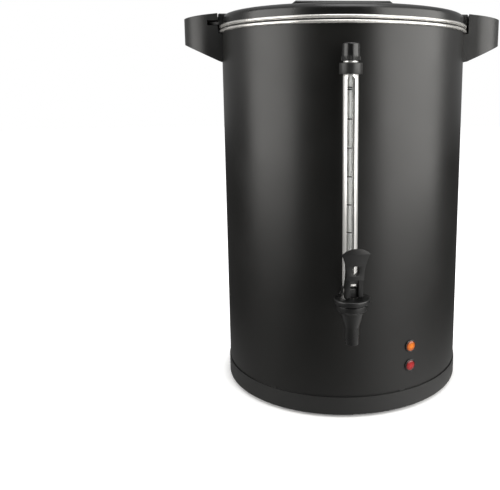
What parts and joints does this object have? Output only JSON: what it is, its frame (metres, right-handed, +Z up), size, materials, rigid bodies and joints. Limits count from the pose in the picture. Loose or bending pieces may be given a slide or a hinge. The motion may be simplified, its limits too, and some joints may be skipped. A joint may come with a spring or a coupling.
{
  "type": "coffee urn",
  "caption": "Large double-walled coffee urn with locking lid, percolator basket and pump, side handles, front level gauge and lever tap, on a black base ring.",
  "frame": {"origin": "on the urn's axis, where the foot ring meets the table", "axes": "+Z up along the axis; the tap and gauge face -Y; the side handles stand out along X"},
  "size_m": [0.392, 0.3737, 0.4785],
  "materials": {
    "body_paint": "matt charcoal-black baked enamel",
    "lid_paint": "satin black baked enamel",
    "stainless": "brushed stainless steel",
    "polished_steel": "polished stainless steel",
    "zinc_steel": "zinc-plated steel",
    "black_plastic": "fine matt black moulding",
    "gloss_black_plastic": "smooth black moulding",
    "black_rubber": "black silicone rubber",
    "clear_glass": "clear borosilicate tube",
    "amber_lens": "amber tinted lens",
    "red_lens": "red tinted lens",
    "brass": "bright brass",
    "cast_aluminium": "as cast aluminium",
    "white_plastic": "white heat-resistant moulding",
    "lead_jacket": "heat-resistant woven lead jacket"
  },
  "bodies": {
    "root": {"outer_shell": "body_paint", "base_ring": "black_plastic", "foot_ring": "black_rubber", "bottom_plate": "zinc_steel", "bottom_screws": "zinc_steel", "inner_tank": "stainless", "left_handle": "black_plastic", "right_handle": "black_plastic", "handle_screws": "zinc_steel", "gauge_shield": "polished_steel", "gauge_glass": "clear_glass", "gauge_holder": "black_plastic", "gauge_screw": "zinc_steel", "gauge_neck": "polished_steel", "gauge_cap": "gloss_black_plastic", "gauge_seals": "black_rubber", "gauge_tee": "gloss_black_plastic", "tap_shank": "stainless", "shank_nut": "stainless", "shank_washers": "black_rubber", "tap_body": "gloss_black_plastic", "tap_bonnet": "gloss_black_plastic", "tap_spring": "stainless", "brew_heater": "cast_aluminium", "clamp_stud": "zinc_steel", "heater_clamp": "zinc_steel", "clamp_nut": "zinc_steel", "warm_heater": "cast_aluminium", "brew_thermostat": "white_plastic", "warm_thermostat": "white_plastic", "thermal_fuse": "white_plastic", "terminal_block": "white_plastic", "internal_leads": "lead_jacket", "light_bezels": "gloss_black_plastic", "amber_lens": "amber_lens", "red_lens": "red_lens", "light_nuts": "black_plastic", "power_inlet": "black_plastic", "inlet_pins": "brass", "inlet_screws": "zinc_steel", "switch_housing": "black_plastic"},
    "pump": {"pump_tube": "polished_steel", "pump_foot": "polished_steel"},
    "washer": {"pump_valve": "stainless"},
    "basket": {"filter_basket": "stainless"},
    "spreader": {"basket_cover": "stainless"},
    "seal": {"lid_seal": "black_rubber"},
    "lid": {"lid_pan": "stainless", "lid_cover": "lid_paint", "lid_handle": "gloss_black_plastic", "lid_handle_screws": "zinc_steel", "lid_lug_left": "black_plastic", "lid_lug_right": "black_plastic", "lug_screws": "zinc_steel"},
    "stem": {"tap_stem": "stainless", "tap_seat_cup": "black_rubber", "tap_pin": "stainless"},
    "lever": {"tap_lever": "gloss_black_plastic"},
    "rocker": {"switch_rocker": "gloss_black_plastic"}
  },
  "joints": [
    {"name": "pump_lift", "type": "slide", "parent": "root", "child": "pump", "axis": [0, 0, 1], "range_m": [0, 0.33]},
    {"name": "valve_float", "type": "slide", "parent": "pump", "child": "washer", "axis": [0, 0, 1], "range_m": [0, 0.002]},
    {"name": "basket_lift", "type": "slide", "parent": "pump", "child": "basket", "axis": [0, 0, 1], "range_m": [0, 0.1]},
    {"name": "spreader_lift", "type": "slide", "parent": "basket", "child": "spreader", "axis": [0, 0, 1], "range_m": [0, 0.1]},
    {"name": "lid_lift", "type": "slide", "parent": "spreader", "child": "seal", "axis": [0, 0, 1], "range_m": [0, 0.25]},
    {"name": "lid_turn", "type": "hinge", "parent": "seal", "child": "lid", "pos_m": [0, 0, 0.4463], "axis": [0, 0, 1], "range_deg": [0, 28]},
    {"name": "stem_lift", "type": "slide", "parent": "root", "child": "stem", "axis": [0, 0, 1], "range_m": [0, 0.004], "deforming": ["tap_spring"]},
    {"name": "lever_tilt", "type": "hinge", "parent": "stem", "child": "lever", "pos_m": [0, -0.202, 0.169], "axis": [0.9781, 0.2079, 0], "range_deg": [0, 60], "stiffness_Nm_per_rad": 0.15, "springref_deg": -17.19},
    {"name": "rocker_tilt", "type": "hinge", "parent": "root", "child": "rocker", "pos_m": [0.04558, 0.14028, 0.062], "axis": [-0.9511, 0.309, 0], "range_deg": [0, 20]}
  ],
  "couplings": [
    {"joint": "stem_lift", "follows": "lever_tilt", "m_per_rad": 0.0038}
  ]
}
